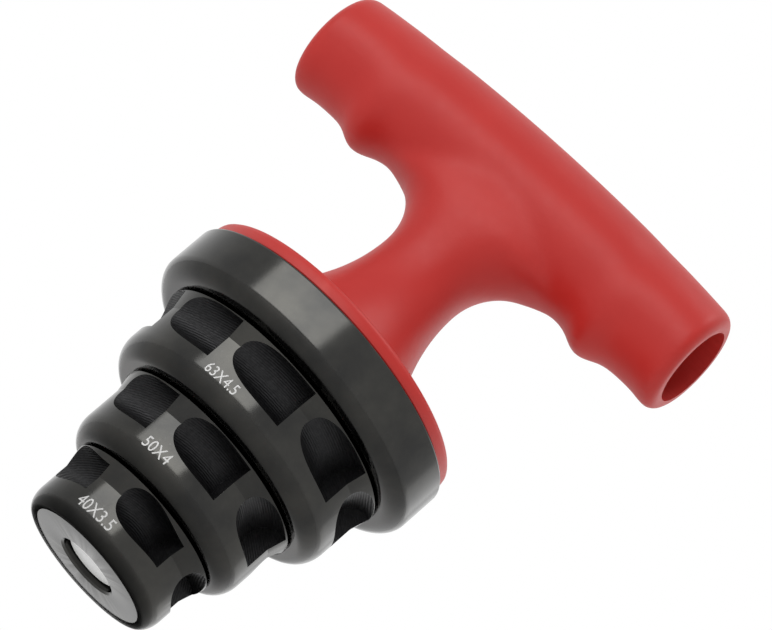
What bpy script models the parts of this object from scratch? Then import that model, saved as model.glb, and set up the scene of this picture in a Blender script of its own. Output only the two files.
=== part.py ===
"""Calibrating and deburring tool for multilayer pipe: a stack of three cutting rings and a collar,
clamped to a moulded T-handle.  +Z runs up the tool's axis from the nose face, +X along the crossbar."""

import math

import bmesh
import bpy
from mathutils import Matrix, Vector

MM = 0.001
GAP = 0.3                      # clearance between touching pieces, mm

# Driving dimensions, mm
RING_RADII = (16.5, 21.0, 27.0)        # half the bore of the 40, 50 and 63 pipes
RING_FRONTS = (0.0, 14.5, 30.8)
COLLAR_RADIUS = 33.05
COLLAR_FRONT = 47.4
COLLAR_BACK = 59.1
LIP_LENGTH = 4.6
LIP_DROP = 3.3
NOSE_LIP_LENGTH = 3.6
NOSE_LIP_DROP = 1.8
FLARE = 1.0
FLARE_LENGTH = 4.4
POCKETS = (5, 7, 9)                    # from the angles between the walls seen in the photo
POCKET_RADII = (4.0, 4.55, 4.7)
POCKET_LIFTS = (-2.1, -0.4, 0.2)       # how far the trough's axis lies outside the land
POCKET_RIM = 0.4
FIRST_WALLS = (-40.0, -54.6, -64.0)    # angle of one cutting edge of each ring, degrees

HOLE_RADIUS = 6.5
HOLE_DEPTH = 11.3
SHANK_RADIUS = 4.0
BORE_RADIUS = SHANK_RADIUS + 0.4

DISC_RADIUS = 32.0
DISC_BOTTOM = COLLAR_BACK + GAP
DISC_TOP = 62.4
NECK_RADIUS = 9.85
NECK_HEIGHT = 86.0
NECK_FLARE = 68.0              # twice the flare's radius
FILLET_WIDTH = 12.0
FILLET_HEIGHT = 13.0
BAR_HALF = 49.0
BAR_RADIUS = 11.6
BAR_TOP = 124.9
BAR_DROP = 3.0                 # how far the back of the crossbar falls towards its ends
BAR_UNDER = 99.2
KNUCKLE_AT = 30.4
KNUCKLE_DEPTH = 2.5
KNUCKLE_WIDTH = 3.8
BAR_BORE_RADIUS = 8.5
BAR_BORE_HEIGHT = 110.3
RIM_ROUND = 2.4

INSERT_RADIUS = 6.5
INSERT_BOTTOM = 66.0
INSERT_TOP = 92.0
SCREW_CIRCLE = 11.2
DOWEL_RADII = (1.2, 1.5, 1.5)
DOWEL_REACH = 2.4
DOWEL_CIRCLES = (8.6, 13.5, 18.0)

BLACK_STEEL = ("black_steel", (0.035, 0.035, 0.033), 0.32, 1.0)
BRIGHT_STEEL = ("bright_steel", (0.72, 0.72, 0.70), 0.25, 1.0)
SCREW_STEEL = ("screw_steel", (0.22, 0.22, 0.23), 0.35, 1.0)
BRASS = ("brass", (0.60, 0.42, 0.16), 0.35, 1.0)
RED_PLASTIC = ("red_plastic", (0.52, 0.032, 0.028), 0.42, 0.0)


def clear_scene():
    for item in list(bpy.data.objects):
        bpy.data.objects.remove(item, do_unlink=True)


def collection(name):
    group = bpy.data.collections.new(name)
    bpy.context.scene.collection.children.link(group)
    return group


def material(spec):
    name, colour, roughness, metallic = spec
    found = bpy.data.materials.get(name)
    if found:
        return found
    made = bpy.data.materials.new(name)
    made.use_nodes = True
    shader = made.node_tree.nodes["Principled BSDF"]
    shader.inputs["Base Color"].default_value = (*colour, 1.0)
    shader.inputs["Roughness"].default_value = roughness
    shader.inputs["Metallic"].default_value = metallic
    return made


def add_object(name, mesh, group, spec=None):
    item = bpy.data.objects.new(name, mesh)
    group.objects.link(item)
    if spec:
        mesh.materials.append(material(spec))
        mesh.shade_smooth()
        mesh.set_sharp_from_angle(angle=math.radians(35))
    return item


def turned(name, outline, group, spec=None, steps=48):
    """Turn a closed outline of (radius, height) pairs, its outer side running down, about Z."""
    mesh = bpy.data.meshes.new(name)
    points = [(r * MM, 0.0, z * MM) for r, z in outline]
    edges = [(i, (i + 1) % len(points)) for i in range(len(points))]
    mesh.from_pydata(points, edges, [])
    item = add_object(name, mesh, group, spec)
    screw = item.modifiers.new("turn", "SCREW")
    screw.steps = steps
    screw.render_steps = steps
    screw.use_merge_vertices = True
    screw.merge_threshold = 0.00001
    screw.use_smooth_shade = False
    return item


def solid_turned(name, outline, group, spec=None, steps=48):
    """Turn an open outline that starts and ends on the axis."""
    mesh = bpy.data.meshes.new(name)
    points = [(r * MM, 0.0, z * MM) for r, z in outline]
    edges = [(i, i + 1) for i in range(len(points) - 1)]
    mesh.from_pydata(points, edges, [])
    item = add_object(name, mesh, group, spec)
    screw = item.modifiers.new("turn", "SCREW")
    screw.steps = steps
    screw.render_steps = steps
    screw.use_merge_vertices = True
    screw.merge_threshold = 0.00001
    return item


def rods(name, places, group, segments=16):
    """Cutter made of separate cylinders; each place is (centre, axis, radius, length) in mm."""
    mesh = bpy.data.meshes.new(name)
    shape = bmesh.new()
    for centre, axis, radius, length in places:
        turn = Vector(axis).to_track_quat("Z", "Y").to_matrix().to_4x4()
        move = Matrix.Translation(Vector(centre) * MM)
        bmesh.ops.create_cone(
            shape, cap_ends=True, segments=segments, radius1=radius * MM, radius2=radius * MM,
            depth=length * MM, matrix=move @ turn)
    shape.to_mesh(mesh)
    shape.free()
    item = add_object(name, mesh, group)
    item.hide_render = True
    item.display_type = "WIRE"
    return item


def boolean(item, other, operation="DIFFERENCE"):
    step = item.modifiers.new(operation.lower(), "BOOLEAN")
    step.operation = operation
    step.object = other
    step.solver = "EXACT"


def polar(radius, degrees, z):
    angle = math.radians(degrees)
    return (radius * math.cos(angle), radius * math.sin(angle), z)


def upright(radius_at, degrees, bottom, top, radius):
    """A cylinder place standing along Z."""
    return (polar(radius_at, degrees, (bottom + top) / 2), (0, 0, 1), radius, top - bottom)


def lip(radius, front, length, drop, steps=5):
    """Rounded leading edge, from the full radius down to the front face."""
    points = []
    for i in range(steps + 1):
        angle = math.radians(90) * i / steps
        points.append((radius - drop * (1 - math.cos(angle)), front + length * (1 - math.sin(angle))))
    return points


def ring_outline(index):
    radius = RING_RADII[index]
    front = RING_FRONTS[index]
    back = ring_back(index)
    nose = index == 0
    length = NOSE_LIP_LENGTH if nose else LIP_LENGTH
    drop = NOSE_LIP_DROP if nose else LIP_DROP
    outline = [(radius + FLARE, back), (radius, back - FLARE_LENGTH)]
    outline += lip(radius, front, length, drop)
    if nose:
        outline += [(HOLE_RADIUS + 0.4, 0.0), (HOLE_RADIUS, 0.4), (HOLE_RADIUS, HOLE_DEPTH)]
        outline += [(BORE_RADIUS, HOLE_DEPTH)]
    else:
        outline += [(BORE_RADIUS, front)]
    return outline + [(BORE_RADIUS, back)]


def ring_back(index):
    following = RING_FRONTS[index + 1] if index + 1 < len(RING_FRONTS) else COLLAR_FRONT
    return following - GAP


def pocket_places(index):
    """Troughs milled along the tangent; each ends square at a radial wall, the cutting edge."""
    places = []
    radius = RING_RADII[index]
    reach = math.sqrt(2 * radius * (POCKET_RADII[index] - POCKET_LIFTS[index])) + 4
    height = ring_back(index) - POCKET_RIM - POCKET_RADII[index]
    for i in range(POCKETS[index]):
        wall = FIRST_WALLS[index] + 360 * i / POCKETS[index]
        radial = Vector(polar(1, wall, 0))
        tangent = Vector(polar(1, wall - 90, 0))
        centre = radial * (radius + POCKET_LIFTS[index]) + tangent * reach / 2
        centre.z = height
        places.append((centre, tangent, POCKET_RADII[index], reach))
    return places


def dowel_places(joint, radius, clearance=0.0):
    below = ring_back(joint)
    above = below + GAP
    bottom = below - DOWEL_REACH - clearance
    top = above + DOWEL_REACH + clearance
    return [upright(DOWEL_CIRCLES[joint], side, bottom, top, radius) for side in (0, 180)]


def make_rings(parts, cutters):
    for index, size in enumerate((40, 50, 63)):
        ring = turned(f"ring_{size}", ring_outline(index), parts, BLACK_STEEL, 40)
        boolean(ring, rods(f"pockets_{size}", pocket_places(index), cutters, 20))
        holes = dowel_places(index, DOWEL_RADII[index] + GAP, GAP)
        if index:
            holes += dowel_places(index - 1, DOWEL_RADII[index - 1] + GAP, GAP)
        boolean(ring, rods(f"dowel_holes_{size}", holes, cutters, 12))


def make_dowels(parts):
    for joint, label in enumerate(("40_50", "50_63", "63_collar")):
        for number, place in enumerate(dowel_places(joint, DOWEL_RADII[joint]), 1):
            centre, _, radius, length = place
            low = centre[2] - length / 2
            high = centre[2] + length / 2
            edge = radius - 0.3
            outline = [(0, high), (edge, high), (radius, high - 0.3), (radius, low + 0.3), (edge, low), (0, low)]
            pin = solid_turned(f"dowel_{label}_{number}", outline, parts, SCREW_STEEL, 12)
            pin.location = (centre[0] * MM, centre[1] * MM, 0)


def screw_angles():
    return [90 + 120 * i for i in range(3)]


def make_collar(parts, cutters):
    outline = [(COLLAR_RADIUS - 0.4, COLLAR_BACK), (COLLAR_RADIUS, COLLAR_BACK - 0.4)]
    outline += lip(COLLAR_RADIUS, COLLAR_FRONT, LIP_LENGTH - 1.0, LIP_DROP + 0.9)
    outline += [(BORE_RADIUS, COLLAR_FRONT), (BORE_RADIUS, COLLAR_BACK)]
    collar = turned("collar", outline, parts, BLACK_STEEL, 40)
    places = dowel_places(2, DOWEL_RADII[2] + GAP, GAP)
    boolean(collar, rods("collar_dowel_holes", places, cutters, 12))
    shanks = [upright(SCREW_CIRCLE, a, COLLAR_FRONT - 1, COLLAR_BACK + 1, 2.1) for a in screw_angles()]
    boolean(collar, rods("collar_screw_holes", shanks, cutters, 12))
    heads = [upright(SCREW_CIRCLE, a, COLLAR_FRONT - 1, COLLAR_FRONT + 4.5, 4.0) for a in screw_angles()]
    boolean(collar, rods("collar_head_holes", heads, cutters, 16))


def make_collar_screws(parts):
    for number, angle in enumerate(screw_angles(), 1):
        low = COLLAR_FRONT + 0.3
        outline = [(0, 64.4), (1.4, 64.4), (1.75, 64.0), (1.75, low + 3.9), (3.5, low + 3.9)]
        outline += [(3.5, low + 0.3), (3.2, low), (1.5, low), (1.5, low + 2), (0, low + 2)]
        screw = solid_turned(f"collar_screw_{number}", outline, parts, SCREW_STEEL, 12)
        x, y, _ = polar(SCREW_CIRCLE, angle, 0)
        screw.location = (x * MM, y * MM, 0)
        sleeve = [(2.7, 65.0), (2.7, 62.9), (2.4, 62.6), (2.4, 62.2), (2.7, 61.9), (2.7, 59.7), (2.05, 59.7), (2.05, 65.0)]
        insert = turned(f"insert_{number}", sleeve, parts, BRASS, 12)
        insert.location = (x * MM, y * MM, 0)


def make_clamp(parts):
    plug = [(0, 3.0), (5.9, 3.0), (5.9, 1.6), (5.6, 1.3), (0, 1.3)]
    solid_turned("nose_plug", plug, parts, BRIGHT_STEEL, 32)
    head_low = 3.3
    head_high = 9.3
    screw = [(0, 90.0), (3.4, 90.0), (SHANK_RADIUS, 89.4), (SHANK_RADIUS, head_high), (6.0, head_high)]
    screw += [(6.0, head_low + 0.4), (5.6, head_low), (3.2, head_low), (3.2, head_low + 3.5), (0, head_low + 3.5)]
    solid_turned("clamp_screw", screw, parts, SCREW_STEEL, 24)
    washer = [(6.1, 11.0), (6.1, 9.6), (4.4, 9.6), (4.4, 11.0)]
    turned("lock_washer", washer, parts, SCREW_STEEL, 24)
    body = [(INSERT_RADIUS, INSERT_TOP), (INSERT_RADIUS, 83.0), (INSERT_RADIUS - 1, 82.0)]
    body += [(INSERT_RADIUS - 1, 76.0), (INSERT_RADIUS, 75.0), (INSERT_RADIUS, INSERT_BOTTOM)]
    body += [(BORE_RADIUS, INSERT_BOTTOM), (BORE_RADIUS, INSERT_TOP)]
    turned("neck_insert", body, parts, BRIGHT_STEEL, 20)


def loft(name, sections, group, spec=None):
    """Closed skin through rings of equal length, capped at both ends."""
    mesh = bpy.data.meshes.new(name)
    shape = bmesh.new()
    rings = [[shape.verts.new(Vector(point) * MM) for point in ring] for ring in sections]
    count = len(rings[0])
    for lower, upper in zip(rings, rings[1:]):
        for i in range(count):
            j = (i + 1) % count
            shape.faces.new((lower[i], lower[j], upper[j], upper[i]))
    shape.faces.new(list(reversed(rings[0])))
    shape.faces.new(rings[-1])
    bmesh.ops.recalc_face_normals(shape, faces=shape.faces)
    shape.to_mesh(mesh)
    shape.free()
    return add_object(name, mesh, group, spec)


def bar_section(x, inset, count=28):
    """Section of the crossbar at x: round above and below, its underside scalloped for the fingers."""
    side = abs(x)
    top = BAR_TOP - BAR_DROP * (side / BAR_HALF) ** 2 - inset
    knuckle = KNUCKLE_DEPTH * math.exp(-(((side - KNUCKLE_AT) / KNUCKLE_WIDTH) ** 2))
    heel = 0.7 / (1 + math.exp(-(side - 44.5)))
    under = BAR_UNDER - knuckle - heel + inset
    middle = (top + under) / 2
    points = []
    for i in range(count):
        angle = 2 * math.pi * i / count
        height = (top - under) / 2 * math.cos(angle)
        points.append((x, (BAR_RADIUS - inset) * math.sin(angle), middle + height))
    return points


def bar_sections():
    stations = [BAR_HALF - RIM_ROUND - 2.3 * i for i in range(20)]
    inner = [(x, 0.0) for x in stations if x > 0.5]
    rim = []
    for i in range(4):
        angle = math.radians(90) * i / 3
        rim.append((BAR_HALF - RIM_ROUND * (1 - math.cos(angle)), RIM_ROUND * (1 - math.sin(angle))))
    right = rim[:-1] + inner
    everything = right + [(0.0, 0.0)] + [(-x, inset) for x, inset in reversed(right)]
    return [bar_section(x, inset) for x, inset in everything]


def neck_half_width(z):
    if z < NECK_HEIGHT:
        return NECK_RADIUS + (NECK_HEIGHT - z) ** 2 / NECK_FLARE
    rise = min(1.0, (z - NECK_HEIGHT) / FILLET_HEIGHT)
    return NECK_RADIUS + FILLET_WIDTH * (1 - math.sqrt(max(0.0, 1 - rise * rise)))


def neck_sections(count=28):
    heights = [DISC_TOP - 1.0, 65, 68, 72, 76, 81, 86, 89, 92, 94.5, 96.5, 97.8, 98.6, 99.0, 106]
    sections = []
    for z in heights:
        width = neck_half_width(z)
        blend = min(1.0, max(0.0, (z - NECK_HEIGHT) / FILLET_HEIGHT))
        depth = width if z < NECK_HEIGHT else NECK_RADIUS + (BAR_RADIUS - 0.5 - NECK_RADIUS) * blend
        ring = []
        for i in range(count):
            angle = 2 * math.pi * i / count
            ring.append((width * math.cos(angle), depth * math.sin(angle), z))
        sections.append(ring)
    return sections


def make_handle(parts, cutters):
    handle = loft("handle", bar_sections(), parts, RED_PLASTIC)
    neck = loft("neck_form", neck_sections(), cutters)
    disc_outline = [(0, DISC_TOP), (DISC_RADIUS - 1, DISC_TOP), (DISC_RADIUS - 0.3, DISC_TOP - 0.3)]
    disc_outline += [(DISC_RADIUS, DISC_TOP - 1), (DISC_RADIUS, DISC_BOTTOM), (0, DISC_BOTTOM)]
    disc = solid_turned("disc_form", disc_outline, cutters, None, 40)
    for form in (neck, disc):
        form.hide_render = True
        form.display_type = "WIRE"
        boolean(handle, form, "UNION")
    bore = ((0, 0, BAR_BORE_HEIGHT), (1, 0, 0), BAR_BORE_RADIUS, 2 * BAR_HALF + 4)
    boolean(handle, rods("bar_bore", [bore], cutters, 28))
    cavity = [upright(0, 0, INSERT_BOTTOM - GAP, INSERT_TOP + GAP, INSERT_RADIUS + GAP)]
    boolean(handle, rods("insert_cavity", cavity, cutters, 20))
    entry = [upright(0, 0, DISC_BOTTOM - 1, INSERT_BOTTOM + 1, BORE_RADIUS)]
    boolean(handle, rods("screw_entry", entry, cutters, 20))
    sockets = [upright(SCREW_CIRCLE, a, DISC_BOTTOM - 1, 65.3, 3.0) for a in screw_angles()]
    boolean(handle, rods("insert_sockets", sockets, cutters, 12))


def main():
    clear_scene()
    parts = collection("deburring_tool")
    cutters = collection("cutters")
    make_rings(parts, cutters)
    make_dowels(parts)
    make_collar(parts, cutters)
    make_collar_screws(parts)
    make_clamp(parts)
    make_handle(parts, cutters)


main()
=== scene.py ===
"""Looks of the deburring tool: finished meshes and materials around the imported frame."""

import math

import bmesh
import bpy
from mathutils import Matrix, Vector


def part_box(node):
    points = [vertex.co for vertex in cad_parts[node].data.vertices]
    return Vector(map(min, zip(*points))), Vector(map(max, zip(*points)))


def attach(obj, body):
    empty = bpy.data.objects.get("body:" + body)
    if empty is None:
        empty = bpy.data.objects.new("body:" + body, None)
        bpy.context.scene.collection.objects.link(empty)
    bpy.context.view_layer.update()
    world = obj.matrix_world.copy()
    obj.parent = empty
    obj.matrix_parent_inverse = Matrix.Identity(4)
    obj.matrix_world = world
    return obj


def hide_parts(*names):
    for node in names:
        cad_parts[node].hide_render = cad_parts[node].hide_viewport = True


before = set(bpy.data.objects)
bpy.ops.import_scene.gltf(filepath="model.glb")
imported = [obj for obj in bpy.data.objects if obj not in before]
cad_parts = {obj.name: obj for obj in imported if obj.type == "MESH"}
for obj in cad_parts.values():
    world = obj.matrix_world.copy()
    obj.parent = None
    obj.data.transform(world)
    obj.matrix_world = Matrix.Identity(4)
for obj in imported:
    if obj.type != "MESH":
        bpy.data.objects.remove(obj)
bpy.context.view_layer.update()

MM = 0.001

# Stepped body, mm
RING_SIZES = (40, 50, 63)
RING_RADII = (16.5, 21.0, 27.0)
POCKETS = (5, 7, 9)
POCKET_RADII = (4.0, 4.55, 4.7)
POCKET_LIFTS = (-2.1, -0.4, 0.2)
POCKET_RIM = 0.4
FIRST_WALLS = (-40.0, -54.6, -64.0)
LIP_LENGTHS = (3.6, 4.6, 4.6)
LIP_DROPS = (1.8, 3.3, 3.3)
FLARE = 1.0
FLARE_LENGTH = 4.4
EDGE_BREAK = 0.18
HOLE_RADIUS = 6.5
HOLE_DEPTH = 11.3
BORE_RADIUS = 4.4
LABELS = ("40X3.5", "50X4", "63X4.5")
LABEL_HEIGHTS = (2.6, 2.5, 2.3)
LABEL_ANGLES = (-94.0, -92.5, -92.4)
LABEL_PLACES = (4.3, 19.3, 35.8)

# Handle, mm
NECK_RADIUS = 9.85
NECK_HEIGHT = 86.0
NECK_FLARE = 68.0
FILLET_WIDTH = 12.0
FILLET_HEIGHT = 13.0
BAR_RADIUS = 11.6
BAR_DROP = 3.0
BAR_UNDER = 99.2
KNUCKLE_AT = 30.4
KNUCKLE_DEPTH = 2.5
KNUCKLE_WIDTH = 3.8
BAR_BORE_RADIUS = 8.5
BAR_BORE_HEIGHT = 110.3
RIM_ROUND = 2.4
DISC_RADIUS = 32.0
DISC_THICKNESS = 3.0


def limits(node):
    low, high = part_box(node)
    return Vector(low) / MM, Vector(high) / MM


def polar(radius, degrees, z=0.0):
    angle = math.radians(degrees)
    return Vector((radius * math.cos(angle), radius * math.sin(angle), z))


# ---------------------------------------------------------------- objects

def put(name, mesh):
    item = bpy.data.objects.new(name, mesh)
    bpy.context.scene.collection.objects.link(item)
    return item


def revolve(name, outline, steps, closed=True):
    """Mesh turned about Z from (radius, height) pairs; a closed outline makes a ring."""
    shape = bmesh.new()
    rows = []
    for r, z in outline:
        if r == 0:
            rows.append([shape.verts.new((0, 0, z * MM))])
            continue
        rows.append([shape.verts.new(polar(r, 360 * i / steps, z) * MM) for i in range(steps)])
    pairs = list(zip(rows, rows[1:]))
    if closed:
        pairs.append((rows[-1], rows[0]))
    for upper, lower in pairs:
        for i in range(steps):
            j = (i + 1) % steps
            corners = [upper[i % len(upper)], upper[j % len(upper)]]
            corners += [lower[j % len(lower)], lower[i % len(lower)]]
            unique = list(dict.fromkeys(corners))
            if len(unique) > 2:
                shape.faces.new(unique)
    bmesh.ops.recalc_face_normals(shape, faces=shape.faces)
    mesh = bpy.data.meshes.new(name)
    shape.to_mesh(mesh)
    shape.free()
    return put(name, mesh)


def rods(name, places, segments):
    """Separate cylinders in one mesh; each place is (centre, axis, radius, length) in mm."""
    shape = bmesh.new()
    for centre, axis, radius, length in places:
        turn = Vector(axis).to_track_quat("Z", "Y").to_matrix().to_4x4()
        bmesh.ops.create_cone(
            shape, cap_ends=True, segments=segments, radius1=radius * MM, radius2=radius * MM,
            depth=length * MM, matrix=Matrix.Translation(Vector(centre) * MM) @ turn)
    mesh = bpy.data.meshes.new(name)
    shape.to_mesh(mesh)
    shape.free()
    return put(name, mesh)


def combine(item, other, operation):
    """Boolean that is applied at once; the other object is removed."""
    step = item.modifiers.new("combine", "BOOLEAN")
    step.operation = operation
    step.object = other
    step.solver = "EXACT"
    apply_all(item)
    bpy.data.objects.remove(other, do_unlink=True)


def apply_all(item):
    graph = bpy.context.evaluated_depsgraph_get()
    mesh = bpy.data.meshes.new_from_object(item.evaluated_get(graph))
    item.modifiers.clear()
    item.data = mesh


def smooth(item, degrees=32):
    item.data.shade_smooth()
    item.data.set_sharp_from_angle(angle=math.radians(degrees))


def break_edges(item, width, degrees=40, slot=-1):
    """Small worn bevel along the sharp edges, in the material of the given slot."""
    bevel = item.modifiers.new("edge", "BEVEL")
    bevel.width = width * MM
    bevel.segments = 2
    bevel.limit_method = "ANGLE"
    bevel.angle_limit = math.radians(degrees)
    bevel.use_clamp_overlap = True
    bevel.harden_normals = False
    bevel.material = slot
    apply_all(item)


# ---------------------------------------------------------------- materials

class Nodes:
    """Short way to add and join shader nodes."""

    def __init__(self, name):
        self.material = bpy.data.materials.new(name)
        self.material.use_nodes = True
        self.tree = self.material.node_tree
        self.shader = self.tree.nodes["Principled BSDF"]
        self.place = self.add("ShaderNodeTexCoord").outputs["Object"]

    def add(self, kind, **values):
        node = self.tree.nodes.new(kind)
        for key, value in values.items():
            setattr(node, key, value)
        return node

    def link(self, start, end):
        self.tree.links.new(start, end)

    def mapped(self, scale, turn=(0, 0, 0)):
        node = self.add("ShaderNodeMapping")
        node.inputs["Scale"].default_value = scale
        node.inputs["Rotation"].default_value = turn
        self.link(self.place, node.inputs["Vector"])
        return node.outputs["Vector"]

    def noise(self, scale, detail=3.0, rough=0.55, vector=None):
        node = self.add("ShaderNodeTexNoise")
        node.inputs["Scale"].default_value = scale
        node.inputs["Detail"].default_value = detail
        node.inputs["Roughness"].default_value = rough
        self.link(vector or self.place, node.inputs["Vector"])
        return node.outputs["Fac"]

    def ramp(self, source, low, high, start=0.0, end=1.0):
        """Map a 0..1 value between two numbers."""
        node = self.add("ShaderNodeMapRange")
        node.inputs["From Min"].default_value = start
        node.inputs["From Max"].default_value = end
        node.inputs["To Min"].default_value = low
        node.inputs["To Max"].default_value = high
        self.link(source, node.inputs["Value"])
        return node.outputs["Result"]

    def math(self, operation, first, second):
        node = self.add("ShaderNodeMath", operation=operation)
        for socket, value in zip(node.inputs, (first, second)):
            if isinstance(value, (int, float)):
                socket.default_value = value
            else:
                self.link(value, socket)
        return node.outputs["Value"]

    def mix(self, factor, first, second):
        node = self.add("ShaderNodeMix", data_type="RGBA")
        self.link(factor, node.inputs["Factor"])
        for socket, value in ((node.inputs["A"], first), (node.inputs["B"], second)):
            if isinstance(value, tuple):
                socket.default_value = (*value, 1.0)
            else:
                self.link(value, socket)
        return node.outputs["Result"]

    def bump(self, height, strength, distance, normal=None):
        node = self.add("ShaderNodeBump")
        node.inputs["Strength"].default_value = strength
        node.inputs["Distance"].default_value = distance
        self.link(height, node.inputs["Height"])
        if normal:
            self.link(normal, node.inputs["Normal"])
        return node.outputs["Normal"]

    def edges(self, low=0.52, high=0.62):
        """1 along convex edges, from pointiness: a painted highlight on the red plastic, lighter edges on the
        plain steel.
        """
        return self.ramp(self.add("ShaderNodeNewGeometry").outputs["Pointiness"], 0.0, 1.0, low, high)

    def set(self, **values):
        for key, value in values.items():
            socket = self.shader.inputs[key.replace("_", " ")]
            if isinstance(value, (int, float)):
                socket.default_value = value
            elif isinstance(value, tuple):
                socket.default_value = (*value, 1.0)
            else:
                self.link(value, socket)


def red_plastic():
    """Satin moulded red: faint flow mottling, a fine spark-eroded texture and a painted highlight of lighter
    red along the convex edges.
    """
    n = Nodes("red_plastic_moulded")
    cloud = n.noise(35, 3)
    fine = n.noise(420, 4)
    colour = n.mix(n.ramp(cloud, 0.0, 1.0, 0.3, 0.7), (0.48, 0.018, 0.014), (0.53, 0.026, 0.020))
    # painted highlight: lighter red along the convex edges
    colour = n.mix(n.edges(0.53, 0.66), colour, (0.57, 0.045, 0.036))
    n.set(Base_Color=colour, Roughness=n.ramp(fine, 0.40, 0.52), IOR=1.42)
    normal = n.bump(fine, 0.10, 0.0004)
    n.set(Normal=n.bump(n.noise(2600, 2), 0.06, 0.0001, normal))
    return n.material


def black_steel():
    """Hardened, oil-blackened steel: turned grain round the axis, brown-olive mottling; the rubbed edges are
    the black_steel_rubbed material on the bevels.
    """
    n = Nodes("black_steel_oxide")
    split = n.add("ShaderNodeSeparateXYZ")
    n.link(n.place, split.inputs[0])
    rings = n.add("ShaderNodeCombineXYZ")
    n.link(split.outputs["Z"], rings.inputs["Z"])
    grain = n.noise(5200, 2, 0.5, rings.outputs["Vector"])
    cloud = n.noise(90, 5, 0.6)
    speck = n.noise(1500, 4, 0.7)
    colour = n.mix(n.ramp(cloud, 0.0, 1.0, 0.35, 0.68), (0.036, 0.036, 0.035), (0.054, 0.053, 0.049))
    colour = n.mix(n.ramp(speck, 0.0, 0.35, 0.62, 0.75), colour, (0.085, 0.085, 0.082))
    rough = n.math("ADD", n.ramp(cloud, 0.11, 0.19), n.ramp(grain, -0.02, 0.04))
    n.set(Base_Color=colour, Metallic=1.0, Roughness=rough)
    normal = n.bump(grain, 0.10, 0.00006)
    n.set(Normal=n.bump(speck, 0.05, 0.00008, normal))
    return n.material


def rubbed_steel():
    """Edge of a turned or milled step, where the black has rubbed through."""
    n = Nodes("black_steel_rubbed")
    speck = n.noise(1500, 4, 0.7)
    colour = n.mix(n.ramp(speck, 0.0, 1.0, 0.4, 0.65), (0.10, 0.10, 0.098), (0.24, 0.24, 0.235))
    n.set(Base_Color=colour, Metallic=1.0, Roughness=n.ramp(speck, 0.24, 0.36))
    n.set(Normal=n.bump(speck, 0.05, 0.00005))
    return n.material


def milled_steel():
    """Floor of a milled pocket: blackened, with arc-shaped cutter marks."""
    n = Nodes("black_steel_milled")
    wave = n.add("ShaderNodeTexWave", wave_type="RINGS", rings_direction="Z", wave_profile="SIN")
    wave.inputs["Scale"].default_value = 700
    wave.inputs["Distortion"].default_value = 2.5
    wave.inputs["Detail"].default_value = 3.0
    wave.inputs["Detail Scale"].default_value = 2.0
    n.link(n.mapped((1.0, 1.0, 1.0), (1.3, 0.4, 0.0)), wave.inputs["Vector"])
    marks = wave.outputs["Fac"]
    speck = n.noise(1300, 4, 0.7)
    colour = n.mix(n.ramp(speck, 0.0, 1.0, 0.4, 0.7), (0.008, 0.008, 0.009), (0.020, 0.020, 0.021))
    n.set(Base_Color=colour, Metallic=0.6, Roughness=n.ramp(marks, 0.34, 0.50))
    normal = n.bump(marks, 0.35, 0.00012)
    n.set(Normal=n.bump(speck, 0.12, 0.0001, normal))
    return n.material


def plain_steel(name, colour, roughness, edge):
    """Turned bright steel: fine rings round the axis, faint clouding, lighter edges."""
    n = Nodes(name)
    grain = n.noise(3000, 2, 0.5, n.mapped((0.05, 0.05, 1.0)))
    cloud = n.noise(160, 4)
    darker = tuple(c * 0.86 for c in colour)
    shade = n.mix(n.ramp(cloud, 0.0, 1.0, 0.35, 0.7), darker, colour)
    shade = n.mix(n.edges(), shade, edge)
    n.set(Base_Color=shade, Metallic=1.0, Roughness=n.ramp(grain, roughness - 0.04, roughness + 0.06))
    n.set(Normal=n.bump(grain, 0.08, 0.00005))
    return n.material


def painted_reflection_face():
    """Pale face of the nose plug, with faint speckle: its near-white base colour is a painted reflection of
    the white surroundings on the steel face.
    """
    n = Nodes("nose_face_painted_reflection")
    speck = n.noise(1800, 3)
    # painted reflection: near-white base colour in place of the white surroundings mirrored in the steel face
    colour = n.mix(n.ramp(speck, 0.0, 1.0, 0.35, 0.7), (0.86, 0.86, 0.85), (0.92, 0.92, 0.91))
    n.set(Base_Color=colour, Metallic=0.15, Roughness=n.ramp(speck, 0.42, 0.56))
    n.set(Normal=n.bump(speck, 0.08, 0.00005))
    return n.material


def marking_white():
    n = Nodes("engraving_white")
    speck = n.noise(2400, 3)
    colour = n.mix(n.ramp(speck, 0.0, 1.0, 0.35, 0.7), (0.70, 0.70, 0.69), (0.86, 0.86, 0.85))
    n.set(Base_Color=colour, Roughness=n.ramp(speck, 0.5, 0.7), Normal=n.bump(speck, 0.2, 0.0001))
    return n.material


# ---------------------------------------------------------------- stepped body

def lip(radius, front, length, drop, steps=14):
    points = []
    for i in range(steps + 1):
        angle = math.radians(90) * i / steps
        points.append((radius - drop * (1 - math.cos(angle)), front + length * (1 - math.sin(angle))))
    return points


def pocket_places(index, back):
    radius = RING_RADII[index]
    bite = POCKET_RADII[index]
    lift = POCKET_LIFTS[index]
    reach = math.sqrt(2 * radius * (bite - lift)) + 4
    places = []
    for i in range(POCKETS[index]):
        wall = FIRST_WALLS[index] + 360 * i / POCKETS[index]
        tangent = polar(1, wall - 90)
        centre = polar(radius + lift, wall) + tangent * reach / 2
        centre.z = back - POCKET_RIM - bite
        places.append((centre, tangent, bite, reach))
    return places


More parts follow.
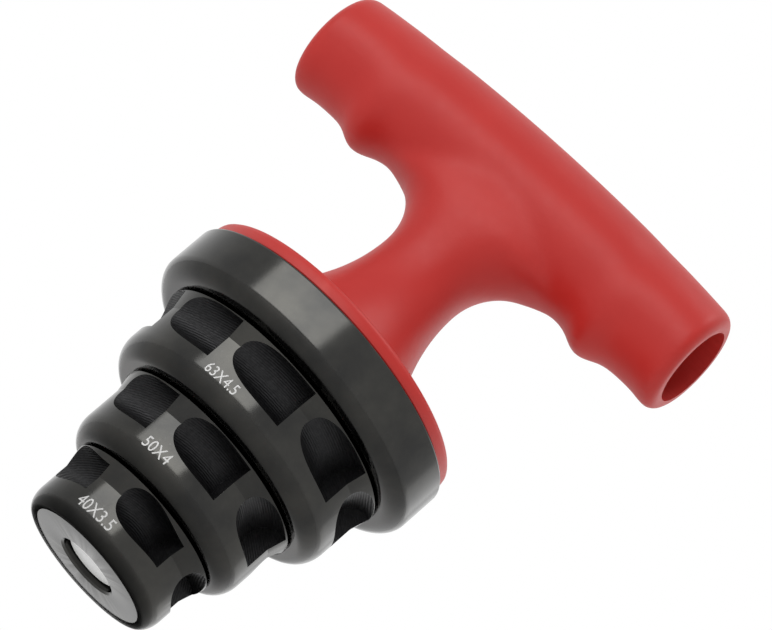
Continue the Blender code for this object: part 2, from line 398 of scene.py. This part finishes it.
def make_ring(index, steel, milled, rubbed):
    node = f"ring_{RING_SIZES[index]}"
    low, high = limits(node)
    front, back = low.z, high.z
    radius = RING_RADII[index]
    outline = [(radius + FLARE - 0.25, back), (radius + FLARE, back - 0.25)]
    outline += [(radius, back - FLARE_LENGTH)]
    outline += lip(radius, front, LIP_LENGTHS[index], LIP_DROPS[index])
    if index == 0:
        outline += [(HOLE_RADIUS + 0.4, front), (HOLE_RADIUS, front + 0.4), (HOLE_RADIUS, front + HOLE_DEPTH)]
        outline += [(BORE_RADIUS, front + HOLE_DEPTH)]
    else:
        outline += [(BORE_RADIUS, front)]
    outline += [(BORE_RADIUS, back)]
    ring = revolve(f"{node}_finished", outline, 180)
    ring.data.materials.append(steel)
    ring.data.materials.append(milled)
    cutter = rods("pockets", pocket_places(index, back), 64)
    cutter.data.materials.append(steel)
    cutter.data.materials.append(milled)
    for face in cutter.data.polygons:
        face.material_index = 1
    combine(ring, cutter, "DIFFERENCE")
    ring.data.materials.append(rubbed)
    break_edges(ring, EDGE_BREAK, slot=len(ring.data.materials) - 1)
    smooth(ring, 9)
    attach(ring, "root")
    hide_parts(node)
    return ring


def make_collar(steel):
    low, high = limits("collar")
    radius = high.x
    outline = [(radius - 0.35, high.z), (radius - 0.1, high.z - 0.1), (radius, high.z - 0.35)]
    outline += lip(radius, low.z, 3.6, 4.2, 18)
    outline += [(BORE_RADIUS, low.z), (BORE_RADIUS, high.z)]
    collar = revolve("collar_finished", outline, 200)
    collar.data.materials.append(steel)
    smooth(collar, 9)
    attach(collar, "root")
    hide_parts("collar")


def make_plug(bright):
    low, high = limits("nose_plug")
    radius = high.x
    outline = [(0, high.z), (radius, high.z), (radius, low.z + 0.35)]
    outline += [(radius - 0.1, low.z + 0.1), (radius - 0.35, low.z), (0, low.z)]
    plug = revolve("nose_plug_finished", outline, 96, closed=False)
    # pale nose face: its near-white colour is a painted reflection of the white surroundings
    plug.data.materials.append(bright)
    smooth(plug)
    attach(plug, "root")
    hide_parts("nose_plug")


def make_label(index, white):
    """Pipe size engraved round the land, reading along the angle with its top towards the handle."""
    curve = bpy.data.curves.new(f"size_{RING_SIZES[index]}", "FONT")
    curve.body = LABELS[index]
    curve.size = LABEL_HEIGHTS[index] * MM / 0.72
    curve.align_x = "CENTER"
    curve.align_y = "CENTER"
    curve.extrude = 0.02 * MM
    curve.resolution_u = 4
    text = put("text_form", curve)
    graph = bpy.context.evaluated_depsgraph_get()
    mesh = bpy.data.meshes.new_from_object(text.evaluated_get(graph))
    bpy.data.objects.remove(text, do_unlink=True)
    shape = bmesh.new()
    shape.from_mesh(mesh)
    bmesh.ops.remove_doubles(shape, verts=shape.verts, dist=1e-7)
    for cut in range(-12, 13):
        everything = list(shape.verts) + list(shape.edges) + list(shape.faces)
        bmesh.ops.bisect_plane(shape, geom=everything, plane_co=(cut * 0.5 * MM, 0, 0), plane_no=(1, 0, 0))
    base = RING_RADII[index] + 0.015
    for vertex in shape.verts:
        x, y, z = vertex.co / MM
        around = LABEL_ANGLES[index] + math.degrees(0.86 * x / base)
        vertex.co = polar(base + z, around, LABEL_PLACES[index] + y) * MM
    shape.to_mesh(mesh)
    shape.free()
    label = put(f"size_{RING_SIZES[index]}_marking", mesh)
    label.data.materials.clear()
    label.data.materials.append(white)
    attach(label, "root")


# ---------------------------------------------------------------- handle

def bar_section(x, inset, bar_half, bar_top, count=96):
    side = abs(x)
    top = bar_top - BAR_DROP * (side / bar_half) ** 2 - inset
    knuckle = KNUCKLE_DEPTH * math.exp(-(((side - KNUCKLE_AT) / KNUCKLE_WIDTH) ** 2))
    heel = 0.7 / (1 + math.exp(-(side - 44.5)))
    under = BAR_UNDER - knuckle - heel + inset
    middle = (top + under) / 2
    points = []
    for i in range(count):
        angle = 2 * math.pi * i / count
        height = (top - under) / 2 * math.cos(angle)
        points.append(Vector((x, (BAR_RADIUS - inset) * math.sin(angle), middle + height)))
    return points


def skin(name, sections):
    """Closed skin through rings of equal length."""
    shape = bmesh.new()
    rings = [[shape.verts.new(point * MM) for point in ring] for ring in sections]
    count = len(rings[0])
    for lower, upper in zip(rings, rings[1:]):
        for i in range(count):
            j = (i + 1) % count
            shape.faces.new((lower[i], lower[j], upper[j], upper[i]))
    shape.faces.new(list(reversed(rings[0])))
    shape.faces.new(rings[-1])
    bmesh.ops.recalc_face_normals(shape, faces=shape.faces)
    mesh = bpy.data.meshes.new(name)
    shape.to_mesh(mesh)
    shape.free()
    return put(name, mesh)


def crossbar(bar_half, bar_top):
    stations = []
    x = 0.0
    while x < bar_half - RIM_ROUND:
        stations.append((x, 0.0))
        x += 0.75
    for i in range(9):
        angle = math.radians(90) * i / 8
        stations.append((bar_half - RIM_ROUND * (1 - math.sin(angle)), RIM_ROUND * (1 - math.cos(angle))))
    stations = [(-x, inset) for x, inset in reversed(stations[1:])] + stations
    return skin("bar", [bar_section(x, inset, bar_half, bar_top) for x, inset in stations])


def neck_half_width(z):
    if z < NECK_HEIGHT:
        return NECK_RADIUS + (NECK_HEIGHT - z) ** 2 / NECK_FLARE
    rise = min(1.0, (z - NECK_HEIGHT) / FILLET_HEIGHT)
    return NECK_RADIUS + FILLET_WIDTH * (1 - math.sqrt(max(0.0, 1 - rise * rise)))


def neck(bottom):
    heights = [bottom + (99.0 - bottom) * i / 60 for i in range(61)] + [106.0]
    sections = []
    for z in heights:
        width = neck_half_width(z)
        blend = min(1.0, max(0.0, (z - NECK_HEIGHT) / FILLET_HEIGHT))
        blend = blend * blend * (3 - 2 * blend)
        depth = width if z < NECK_HEIGHT else NECK_RADIUS + (BAR_RADIUS - 0.4 - NECK_RADIUS) * blend
        ring = []
        for i in range(96):
            angle = 2 * math.pi * i / 96
            ring.append(Vector((width * math.cos(angle), depth * math.sin(angle), z)))
        sections.append(ring)
    return skin("neck", sections)


def blended_grip(bar_half, bar_top, disc_top):
    """Crossbar and neck as one skin, with the corner between them rounded off."""
    grip = crossbar(bar_half, bar_top)
    combine(grip, neck(disc_top - 1.5), "UNION")
    remesh = grip.modifiers.new("even", "REMESH")
    remesh.mode = "VOXEL"
    remesh.voxel_size = 0.55 * MM
    apply_all(grip)
    group = grip.vertex_groups.new(name="junction")
    for vertex in grip.data.vertices:
        x, y, z = vertex.co / MM
        near = max(0.0, 1 - abs(x) / 34) * max(0.0, 1 - abs(z - 98) / 15)
        group.add([vertex.index], min(1.0, 2.2 * near), "REPLACE")
    for name, factor, turns in (("blend", 0.9, 60), ("polish", 0.5, 6)):
        step = grip.modifiers.new(name, "SMOOTH")
        step.factor = factor
        step.iterations = turns
        if name == "blend":
            step.vertex_group = "junction"
    apply_all(grip)
    return grip


def make_handle(red):
    low, high = limits("handle")
    bar_half = high.x
    disc_top = low.z + DISC_THICKNESS
    grip = blended_grip(bar_half, high.z, disc_top)
    edge = DISC_RADIUS
    outline = [(0, disc_top), (edge - 1.2, disc_top)]
    outline += [(edge - 0.5, disc_top - 0.15), (edge - 0.15, disc_top - 0.5)]
    outline += [(edge, disc_top - 1.2), (edge, low.z + 0.2), (edge - 0.2, low.z), (0, low.z)]
    combine(grip, revolve("disc", outline, 160, closed=False), "UNION")
    bore = [((0, 0, BAR_BORE_HEIGHT), (1, 0, 0), BAR_BORE_RADIUS, 2 * bar_half + 4)]
    combine(grip, rods("bore", bore, 96), "DIFFERENCE")
    grip.name = "handle_finished"
    grip.data.materials.clear()
    grip.data.materials.append(red)
    smooth(grip, 38)
    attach(grip, "root")
    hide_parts("handle")
    return grip


# ---------------------------------------------------------------- carried-over pieces

def finish_inner_nodes():
    steel = plain_steel("screw_steel_plain", (0.30, 0.30, 0.31), 0.32, (0.5, 0.5, 0.5))
    bright = plain_steel("insert_steel_plain", (0.60, 0.60, 0.58), 0.28, (0.8, 0.8, 0.78))
    brass = plain_steel("brass_turned", (0.60, 0.42, 0.16), 0.30, (0.78, 0.60, 0.30))
    for name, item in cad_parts.items():
        if name.startswith("insert_"):
            finish = brass
        elif name == "neck_insert":
            finish = bright
        elif name.startswith(("dowel_", "collar_screw_", "clamp_screw", "lock_washer")):
            finish = steel
        else:
            continue
        for slot in item.material_slots:
            slot.material = finish


# ---------------------------------------------------------------- stage

CAMERA_AIM = Vector((8.4, -21.55, 68.22)) * MM
CAMERA_DISTANCE = 0.786
CAMERA_AZIMUTH = 18.76
CAMERA_ELEVATION = -18.84
CAMERA_ROLL = 49.17
CAMERA_LENS = 199.1


def make_camera():
    azimuth = math.radians(CAMERA_AZIMUTH)
    elevation = math.radians(CAMERA_ELEVATION)
    towards = Vector((
        math.sin(azimuth) * math.cos(elevation),
        -math.cos(azimuth) * math.cos(elevation),
        math.sin(elevation)))
    data = bpy.data.cameras.new("camera")
    data.lens = CAMERA_LENS
    data.sensor_width = 36.0
    data.clip_start = 0.01
    camera = bpy.data.objects.new("camera", data)
    bpy.context.scene.collection.objects.link(camera)
    level = towards.to_track_quat("Z", "Y").to_matrix()
    camera.matrix_world = (
        Matrix.Translation(CAMERA_AIM + towards * CAMERA_DISTANCE)
        @ level.to_4x4() @ Matrix.Rotation(math.radians(CAMERA_ROLL), 4, "Z"))
    bpy.context.scene.camera = camera


def make_floor():
    """Pale floor just under the nose, open where the nose stands and see-through from below."""
    shape = bmesh.new()
    inner = [shape.verts.new(polar(13.6, 5 * i, -0.2) * MM) for i in range(72)]
    outer = [shape.verts.new(polar(4000, 5 * i, -0.2) * MM) for i in range(72)]
    for i in range(72):
        j = (i + 1) % 72
        shape.faces.new((inner[i], outer[i], outer[j], inner[j]))
    mesh = bpy.data.meshes.new("floor")
    shape.to_mesh(mesh)
    shape.free()
    floor = put("floor", mesh)
    n = Nodes("floor_pale")
    n.set(Base_Color=(0.80, 0.80, 0.80), Roughness=0.6)
    clear = n.add("ShaderNodeBsdfTransparent")
    choose = n.add("ShaderNodeMixShader")
    below = n.add("ShaderNodeNewGeometry").outputs["Backfacing"]
    seen = n.add("ShaderNodeLightPath").outputs["Is Camera Ray"]
    n.link(n.math("MULTIPLY", below, seen), choose.inputs["Fac"])
    n.link(n.shader.outputs["BSDF"], choose.inputs[1])
    n.link(clear.outputs["BSDF"], choose.inputs[2])
    n.link(choose.outputs["Shader"], n.tree.nodes["Material Output"].inputs["Surface"])
    mesh.materials.append(n.material)


def area_light(name, azimuth, elevation, distance, width, height, power):
    """Soft box at a direction from the tool; azimuth in degrees from +X."""
    data = bpy.data.lights.new(name, "AREA")
    data.shape = "RECTANGLE"
    data.size = width
    data.size_y = height
    data.energy = power
    lamp = bpy.data.objects.new(name, data)
    bpy.context.scene.collection.objects.link(lamp)
    direction = polar(math.cos(math.radians(elevation)), azimuth, math.sin(math.radians(elevation)))
    aim = Vector((0, 0, 50)) * MM
    lamp.location = aim + direction * distance
    lamp.rotation_euler = direction.to_track_quat("Z", "Y").to_euler()
    return lamp


def make_lights():
    area_light("key", -110, 17, 1.2, 1.33, 0.38, 6)
    area_light("top", -60, 75, 1.3, 0.6, 0.4, 3.5)
    area_light("rim", 60, 25, 1.4, 0.8, 1.0, 1.5)
    world = bpy.data.worlds.new("studio")
    world.use_nodes = True
    bpy.context.scene.world = world
    tree = world.node_tree
    back = tree.nodes["Background"]
    back.inputs["Color"].default_value = (1, 1, 1, 1)
    # White for rays from the camera, and for those that metal and glass show
    path = tree.nodes.new("ShaderNodeLightPath")
    place = tree.nodes.new("ShaderNodeTexCoord")
    split = tree.nodes.new("ShaderNodeSeparateXYZ")
    shade = tree.nodes.new("ShaderNodeMapRange")
    bright = tree.nodes.new("ShaderNodeMath")
    bright.operation = "MAXIMUM"
    shade.inputs["From Min"].default_value = -0.35
    shade.inputs["From Max"].default_value = 0.35
    shade.inputs["To Min"].default_value = 0.28
    shade.inputs["To Max"].default_value = 1.0
    tree.links.new(place.outputs["Generated"], split.inputs[0])
    tree.links.new(split.outputs["Y"], shade.inputs["Value"])
    tree.links.new(shade.outputs["Result"], bright.inputs[0])
    seen = tree.nodes.new("ShaderNodeMath")
    seen.operation = "MAXIMUM"
    through = tree.nodes.new("ShaderNodeMath")
    through.operation = "MAXIMUM"
    tree.links.new(path.outputs["Is Camera Ray"], seen.inputs[0])
    tree.links.new(path.outputs["Is Glossy Ray"], seen.inputs[1])
    tree.links.new(seen.outputs["Value"], through.inputs[0])
    tree.links.new(path.outputs["Is Transmission Ray"], through.inputs[1])
    tree.links.new(through.outputs["Value"], bright.inputs[1])
    tree.links.new(bright.outputs["Value"], back.inputs["Strength"])


def main():
    make_camera()
    make_floor()
    make_lights()
    steel = black_steel()
    milled = milled_steel()
    rubbed = rubbed_steel()
    for index in range(len(RING_SIZES)):
        make_ring(index, steel, milled, rubbed)
    make_collar(steel)
    make_plug(painted_reflection_face())
    white = marking_white()
    for index in range(len(LABELS)):
        make_label(index, white)
    make_handle(red_plastic())
    finish_inner_nodes()
    scene = bpy.context.scene
    scene.view_settings.view_transform = "Standard"


main()
